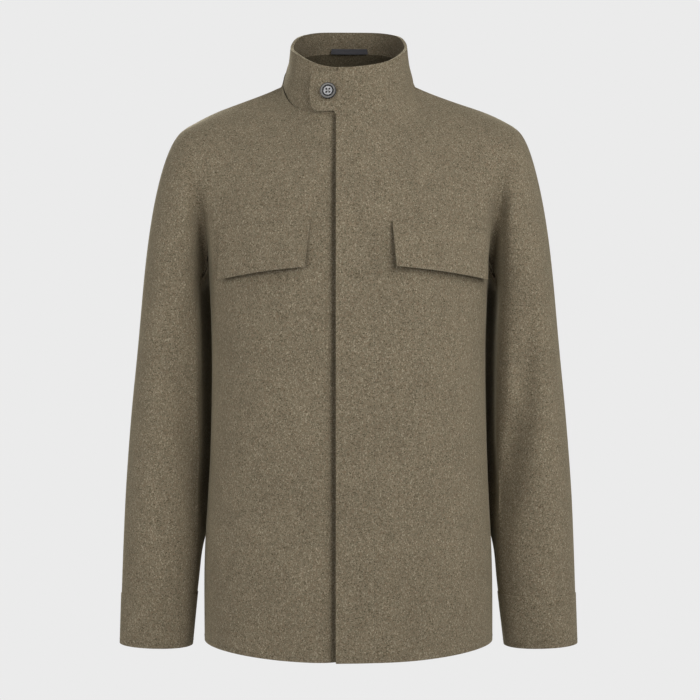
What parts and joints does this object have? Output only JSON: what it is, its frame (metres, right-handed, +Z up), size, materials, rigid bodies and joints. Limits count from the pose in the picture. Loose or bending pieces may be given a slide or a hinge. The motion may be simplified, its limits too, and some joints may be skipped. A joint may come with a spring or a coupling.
{
  "type": "overshirt",
  "caption": "Stand-collar overshirt in brushed olive-brown wool, filled out as worn with nobody in it: concealed closure, buttoned collar tab, chest flaps, cuffed sleeves.",
  "frame": {"origin": "Centre of the neck opening at the height of the two neck-to-shoulder points, at mount wearer_shoulders. +Z is up.", "axes": "X runs sideways, with the wearer's left at +X and the button's side at -X. The front faces -Y. Z is up."},
  "size_m": [0.5798, 0.2708, 0.7884],
  "materials": {
    "wool": "brushed, matte, finely flecked",
    "navy_tape": "smooth, matte",
    "button_resin": "satin"
  },
  "bodies": {
    "root": {"front_left": "wool", "front_right": "wool", "back": "wool", "placket": "wool", "collar": "wool", "sleeve_left": "wool", "sleeve_right": "wool", "cuff_left": "wool", "cuff_right": "wool", "flap_left": "wool", "flap_right": "wool", "neck_tape": "navy_tape", "button": "button_resin"}
  },
  "joints": []
}
